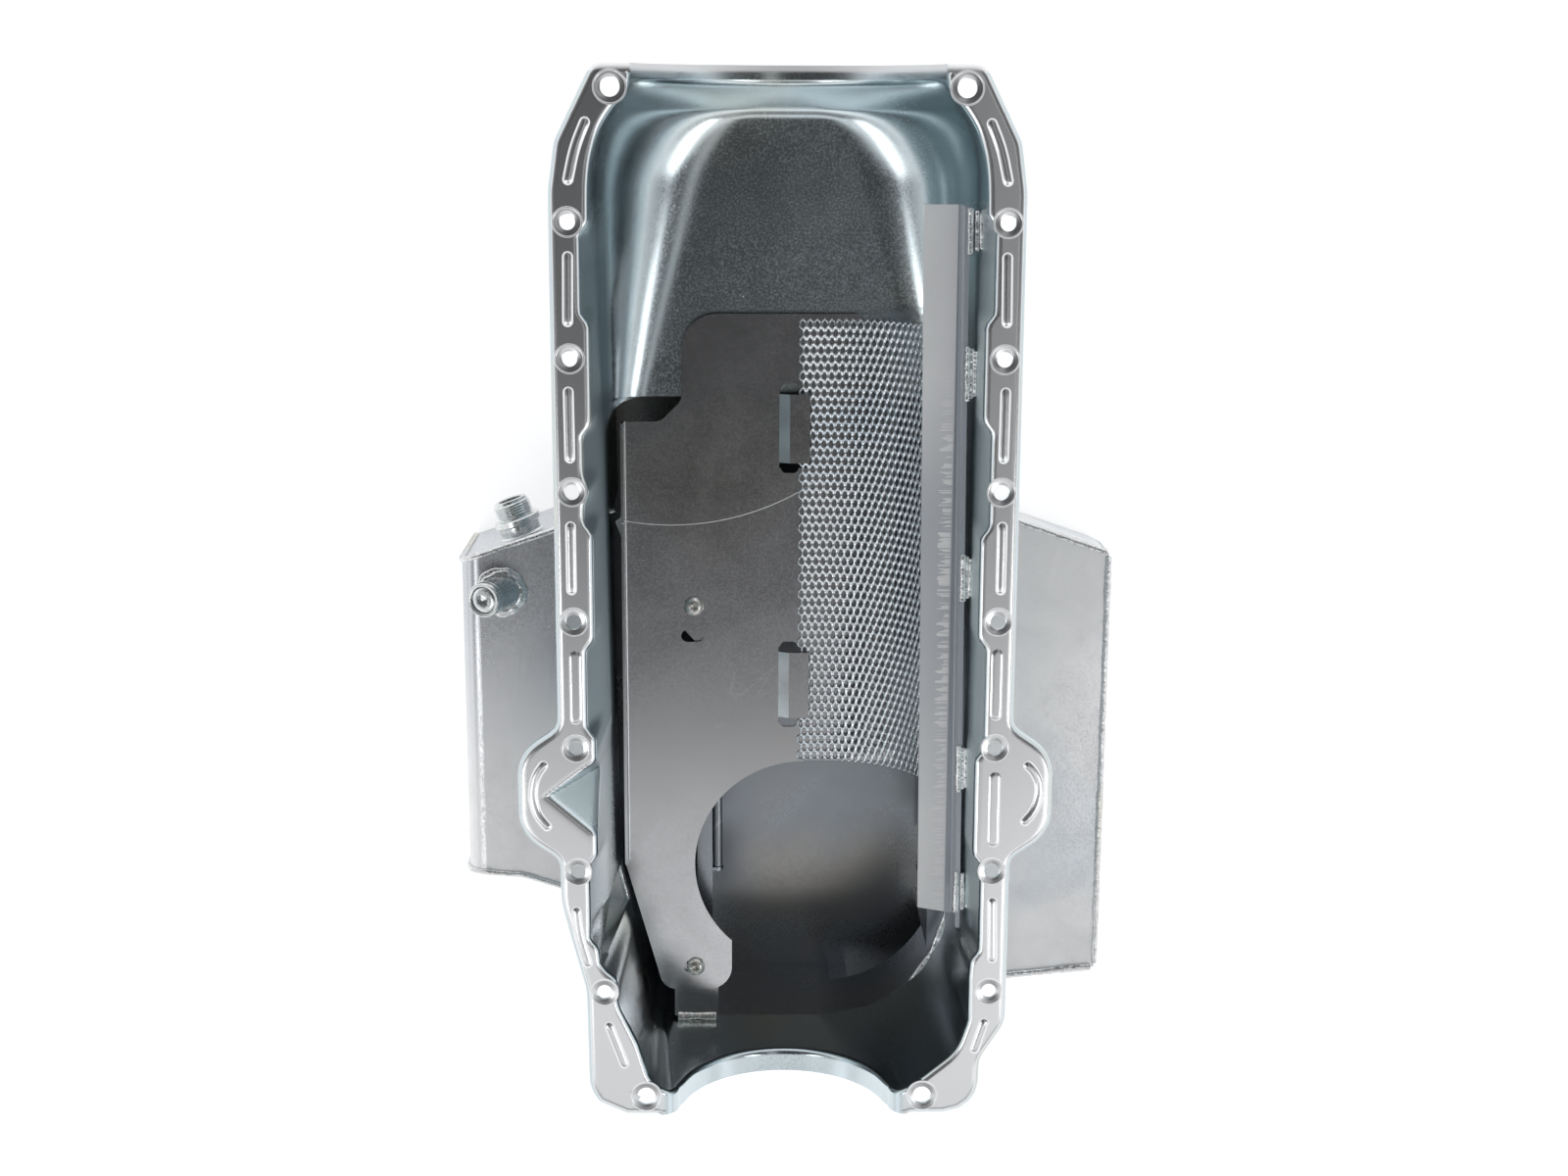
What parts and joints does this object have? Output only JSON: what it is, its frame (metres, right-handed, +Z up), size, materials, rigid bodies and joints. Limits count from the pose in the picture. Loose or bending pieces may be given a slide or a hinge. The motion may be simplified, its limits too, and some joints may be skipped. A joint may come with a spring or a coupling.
{
  "type": "engine oil pan",
  "caption": "Wet-sump oil pan: pressed bolt rail and shallow trough over a welded sump with side kick-outs, hinged baffle doors, windage tray and mesh screen.",
  "frame": {"origin": "middle of the six evenly pitched pairs of rail bolts, in the flat gasket face", "axes": "+Z up out of the pan, +Y to the front of the engine, +X to the right seen from above with the front away from the viewer"},
  "size_m": [0.3865, 0.572, 0.1909],
  "materials": {
    "pressed_zinc": "bright zinc plate over a smooth pressing",
    "sump_zinc": "zinc plate, satin",
    "kickout_zinc": "zinc plate, satin",
    "weld_bead": "plated weld bead, rippled",
    "door_steel": "zinc plate, satin",
    "pin_steel": "bright drawn",
    "tray_steel": "zinc plate, fine brushed lines",
    "screen_steel": "zinc plated expanded metal",
    "scraper_steel": "bright zinc plate",
    "fastener_steel": "plated, worn bright",
    "turned_steel": "turned and zinc plated",
    "copper_washer": "plain copper"
  },
  "bodies": {
    "pan": {"pan_body": "pressed_zinc", "sump_floor": "sump_zinc", "sump_front_wall": "sump_zinc", "sump_wall": "sump_zinc", "sump_seam_weld": "weld_bead", "left_kickout_cover": "kickout_zinc", "left_kickout_front": "kickout_zinc", "left_kickout_rear": "kickout_zinc", "left_kickout_welds": "weld_bead", "right_kickout_top": "kickout_zinc", "right_kickout_front": "kickout_zinc", "right_kickout_rear": "kickout_zinc", "right_kickout_welds": "weld_bead", "left_baffle": "sump_zinc", "right_baffle": "sump_zinc", "left_door_pin": "pin_steel", "right_door_pin": "pin_steel", "windage_tray": "tray_steel", "tray_screen": "screen_steel", "scraper_bar": "scraper_steel", "scraper_welds": "weld_bead", "rear_tray_bracket": "tray_steel", "rear_bracket_weld": "weld_bead", "mid_tray_bracket": "tray_steel", "tray_screws": "fastener_steel", "tray_nuts": "fastener_steel", "sensor_bung": "turned_steel", "sensor_plug": "fastener_steel", "bung_weld": "weld_bead", "side_port_bung": "turned_steel", "side_port_fitting": "turned_steel", "drain_bung": "turned_steel", "drain_washer": "copper_washer", "drain_plug": "fastener_steel"},
    "left_door": {"left_trap_door": "door_steel"},
    "right_door": {"right_trap_door": "door_steel"}
  },
  "joints": [
    {"name": "left_door_hinge", "type": "hinge", "parent": "pan", "child": "left_door", "pos_m": [-0.0383, -0.185, -0.127], "axis": [0, -1, 0], "range_deg": [0, 75]},
    {"name": "right_door_hinge", "type": "hinge", "parent": "pan", "child": "right_door", "pos_m": [0.0849, -0.185, -0.127], "axis": [0, 1, 0], "range_deg": [0, 75]}
  ]
}
